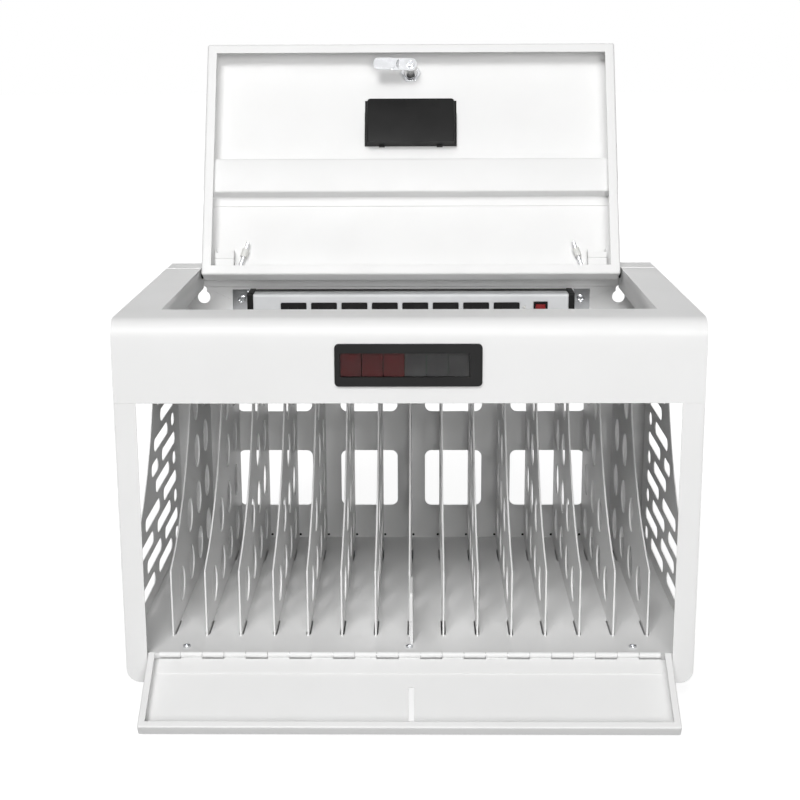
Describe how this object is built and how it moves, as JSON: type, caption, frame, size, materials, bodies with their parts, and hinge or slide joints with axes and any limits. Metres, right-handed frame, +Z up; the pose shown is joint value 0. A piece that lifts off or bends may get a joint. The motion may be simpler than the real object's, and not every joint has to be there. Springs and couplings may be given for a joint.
{
  "type": "device charging cabinet",
  "caption": "White steel device charging cabinet with a lift-up lid over a charger compartment, scooped perforated dividers, open bays and a drop flap with a padlock hasp.",
  "frame": {"origin": "on the ground plane, midway between the side panels and midway between the front face and the back face of the shell, which is within 6 mm of the middle of the ground that the part covers with its lid leaning back and its flap down", "axes": "+X to the right as seen from the front, +Y from the open front to the back wall, +Z up; rest pose as pictured, lid leaning back open and flap folded down"},
  "size_m": [0.66, 0.6243, 0.754],
  "materials": {
    "white_coat": "fine powder coat, satin",
    "zinc": "zinc plate",
    "chrome": "polished",
    "black_plastic": "fine matt texture",
    "smoked_pane": "smoked, clear",
    "digit_red": "dark red, satin",
    "digit_grey": "grey, satin",
    "board_green": "solder mask",
    "grey_plastic": "satin",
    "foot_rubber": "matt",
    "white_nylon": "satin",
    "red_plastic": "gloss"
  },
  "bodies": {
    "cabinet": {"back_panel": "white_coat", "base_pan": "white_coat", "digits_grey": "digit_grey", "digits_red": "digit_red", "display_bezel": "black_plastic", "display_board": "board_green", "display_pane": "smoked_pane", "divider_01": "white_coat", "divider_02": "white_coat", "divider_03": "white_coat", "divider_04": "white_coat", "divider_05": "white_coat", "divider_06": "white_coat", "divider_07": "white_coat", "divider_08": "white_coat", "divider_09": "white_coat", "divider_10": "white_coat", "divider_11": "white_coat", "divider_12": "white_coat", "divider_13": "white_coat", "divider_14": "white_coat", "divider_15": "white_coat", "feet": "foot_rubber", "floor_pan": "white_coat", "hasp_plate": "white_coat", "hinge_leaf_fixed": "white_coat", "hinge_pin": "zinc", "hood": "white_coat", "lid_bushes": "black_plastic", "opening_flange": "white_coat", "rear_cap": "white_coat", "shelf": "white_coat", "side_panel_left": "white_coat", "side_panel_right": "white_coat", "sockets": "black_plastic", "strip_base": "black_plastic", "strip_caps": "black_plastic", "strip_cover": "grey_plastic", "strip_ears": "zinc", "switch_frame": "black_plastic"},
    "lid": {"lid_panel": "white_coat", "lid_stiffener": "white_coat", "lid_bracket_left": "white_coat", "lid_bracket_right": "white_coat", "lid_pull": "black_plastic", "lock_body": "chrome", "lock_nut": "zinc"},
    "flap": {"flap_tray": "white_coat", "hinge_leaf_flap": "white_coat"},
    "pin_left": {"lid_pin_left": "zinc", "lid_collar_left": "white_nylon"},
    "pin_right": {"lid_pin_right": "zinc", "lid_collar_right": "white_nylon"},
    "cam": {"lock_plug": "chrome", "lock_cam": "zinc"},
    "switch_rocker": {"rocker": "red_plastic"}
  },
  "joints": [
    {"name": "lid_hinge", "type": "hinge", "parent": "cabinet", "child": "lid", "pos_m": [0, 0.175, 0.452], "axis": [1, 0, 0], "range_deg": [0, 115]},
    {"name": "flap_hinge", "type": "hinge", "parent": "cabinet", "child": "flap", "pos_m": [0, -0.2109, 0.063], "axis": [-1, 0, 0], "range_deg": [0, 121]},
    {"name": "pin_left_slide", "type": "slide", "parent": "lid", "child": "pin_left", "axis": [1, 0, 0], "range_m": [0, 0.012]},
    {"name": "pin_right_slide", "type": "slide", "parent": "lid", "child": "pin_right", "axis": [-1, 0, 0], "range_m": [0, 0.012]},
    {"name": "cam_turn", "type": "hinge", "parent": "lid", "child": "cam", "pos_m": [0, 0.29798, 0.71574], "axis": [0, 0.9063, -0.4226], "range_deg": [0, 90]},
    {"name": "rocker_tilt", "type": "hinge", "parent": "cabinet", "child": "switch_rocker", "pos_m": [0.176, 0.1688, 0.4], "axis": [1, 0, 0], "range_deg": [-20, 0]}
  ]
}
